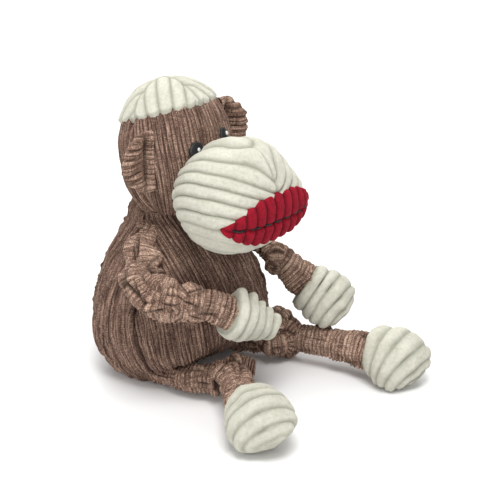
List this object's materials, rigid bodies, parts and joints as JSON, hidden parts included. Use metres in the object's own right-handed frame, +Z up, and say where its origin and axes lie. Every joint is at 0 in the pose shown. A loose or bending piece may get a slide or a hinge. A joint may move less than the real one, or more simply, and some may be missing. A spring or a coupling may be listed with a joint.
{
  "type": "stuffed monkey",
  "caption": "Sitting corduroy monkey toy with a big muzzle, red lips, a cream cap, knotted arms and legs, and cream hands and feet.",
  "frame": {"origin": "on the floor, under the middle of the belly, on the flat patch that the toy sits on", "axes": "+Z up, the face looks along -Y, +X towards the monkey's left hand"},
  "size_m": [0.1719, 0.2195, 0.2146],
  "materials": {
    "brown_corduroy": "matte",
    "cream_corduroy": "matte",
    "red_corduroy": "matte",
    "black_thread": "satin",
    "white_thread": "satin",
    "brown_thread": "matte",
    "fibre_filling": "matte",
    "squeaker_plastic": "matte"
  },
  "bodies": {
    "torso": {"front_panel": "brown_corduroy", "back_panel": "brown_corduroy", "base_panel": "brown_corduroy", "torso_filling": "fibre_filling", "body_squeaker": "squeaker_plastic", "closing_stitches": "brown_thread"},
    "neck": {"neck_filling": "fibre_filling"},
    "head": {"face_panel": "brown_corduroy", "back_head_panel": "brown_corduroy", "crown_cap": "cream_corduroy", "head_filling": "fibre_filling", "head_squeaker": "squeaker_plastic", "chin_panel": "cream_corduroy", "lips_panel": "red_corduroy", "muzzle_filling": "fibre_filling", "mouth_stitching": "black_thread", "eye_right": "black_thread", "eye_glint_right": "white_thread", "muzzle_cheek_right": "cream_corduroy", "eye_left": "black_thread", "eye_glint_left": "white_thread", "muzzle_cheek_left": "cream_corduroy"},
    "ear_right": {"ear_front_right": "brown_corduroy", "ear_back_right": "brown_corduroy"},
    "ear_left": {"ear_front_left": "brown_corduroy", "ear_back_left": "brown_corduroy"},
    "upper_arm_right": {"upper_sleeve_right": "brown_corduroy"},
    "forearm_right": {"arm_knot_right": "brown_corduroy", "forearm_sleeve_right": "brown_corduroy"},
    "hand_right": {"hand_cover_right": "cream_corduroy", "hand_filling_right": "fibre_filling"},
    "thigh_right": {"thigh_sleeve_right": "brown_corduroy"},
    "shin_right": {"leg_knot_right": "brown_corduroy", "shin_sleeve_right": "brown_corduroy"},
    "foot_right": {"foot_cover_right": "cream_corduroy", "foot_filling_right": "fibre_filling"},
    "upper_arm_left": {"upper_sleeve_left": "brown_corduroy"},
    "forearm_left": {"arm_knot_left": "brown_corduroy", "forearm_sleeve_left": "brown_corduroy"},
    "hand_left": {"hand_cover_left": "cream_corduroy", "hand_filling_left": "fibre_filling"},
    "thigh_left": {"thigh_sleeve_left": "brown_corduroy"},
    "shin_left": {"leg_knot_left": "brown_corduroy", "shin_sleeve_left": "brown_corduroy"},
    "foot_left": {"foot_cover_left": "cream_corduroy", "foot_filling_left": "fibre_filling"}
  },
  "joints": [
    {"name": "neck_turn", "type": "hinge", "parent": "torso", "child": "neck", "pos_m": [0, 0.008, 0.117], "axis": [0, 0.208, 0.9781], "range_deg": [-30, 30]},
    {"name": "head_nod", "type": "hinge", "parent": "neck", "child": "head", "pos_m": [0, 0.008, 0.117], "axis": [1, 0, 0], "range_deg": [-12, 8]},
    {"name": "ear_fold_right", "type": "hinge", "parent": "head", "child": "ear_right", "pos_m": [-0.0415, -0.005, 0.165], "axis": [0, 0, -1], "range_deg": [-35, 35]},
    {"name": "shoulder_swing_right", "type": "hinge", "parent": "torso", "child": "upper_arm_right", "pos_m": [-0.043, -0.004, 0.095], "axis": [0, 0, -1], "range_deg": [0, 45]},
    {"name": "elbow_raise_right", "type": "hinge", "parent": "upper_arm_right", "child": "forearm_right", "pos_m": [-0.06, -0.011, 0.081], "axis": [-0.6757, -0.2949, -0.6757], "range_deg": [0, 55]},
    {"name": "wrist_flex_right", "type": "hinge", "parent": "forearm_right", "child": "hand_right", "pos_m": [-0.023, -0.069, 0.065], "axis": [-0.6263, -0.5513, -0.5513], "range_deg": [0, 35]},
    {"name": "hip_swing_right", "type": "hinge", "parent": "torso", "child": "thigh_right", "pos_m": [-0.038, -0.024, 0.008], "axis": [0, 0, -1], "range_deg": [0, 40]},
    {"name": "knee_swing_right", "type": "hinge", "parent": "thigh_right", "child": "shin_right", "pos_m": [-0.024, -0.061, 0.016], "axis": [0, 0, -1], "range_deg": [0, 40]},
    {"name": "ankle_flex_right", "type": "hinge", "parent": "shin_right", "child": "foot_right", "pos_m": [-0.048, -0.103, 0.02], "axis": [-1, 0, 0], "range_deg": [0, 30]},
    {"name": "ear_fold_left", "type": "hinge", "parent": "head", "child": "ear_left", "pos_m": [0.0415, -0.005, 0.165], "axis": [0, 0, 1], "range_deg": [-35, 35]},
    {"name": "shoulder_swing_left", "type": "hinge", "parent": "torso", "child": "upper_arm_left", "pos_m": [0.043, -0.004, 0.095], "axis": [0, 0, 1], "range_deg": [0, 45]},
    {"name": "elbow_raise_left", "type": "hinge", "parent": "upper_arm_left", "child": "forearm_left", "pos_m": [0.059, -0.02, 0.081], "axis": [-0.6013, -0.5262, 0.6013], "range_deg": [0, 55]},
    {"name": "wrist_flex_left", "type": "hinge", "parent": "forearm_left", "child": "hand_left", "pos_m": [0.068, -0.061, 0.052], "axis": [-0.338, -0.4549, 0.8239], "range_deg": [0, 35]},
    {"name": "hip_swing_left", "type": "hinge", "parent": "torso", "child": "thigh_left", "pos_m": [0.038, -0.024, 0.008], "axis": [0, 0, 1], "range_deg": [0, 40]},
    {"name": "knee_swing_left", "type": "hinge", "parent": "thigh_left", "child": "shin_left", "pos_m": [0.054, -0.054, 0.016], "axis": [0, 0, 1], "range_deg": [0, 40]},
    {"name": "ankle_flex_left", "type": "hinge", "parent": "shin_left", "child": "foot_left", "pos_m": [0.072, -0.106, 0.018], "axis": [-1, 0, 0], "range_deg": [0, 30]}
  ]
}
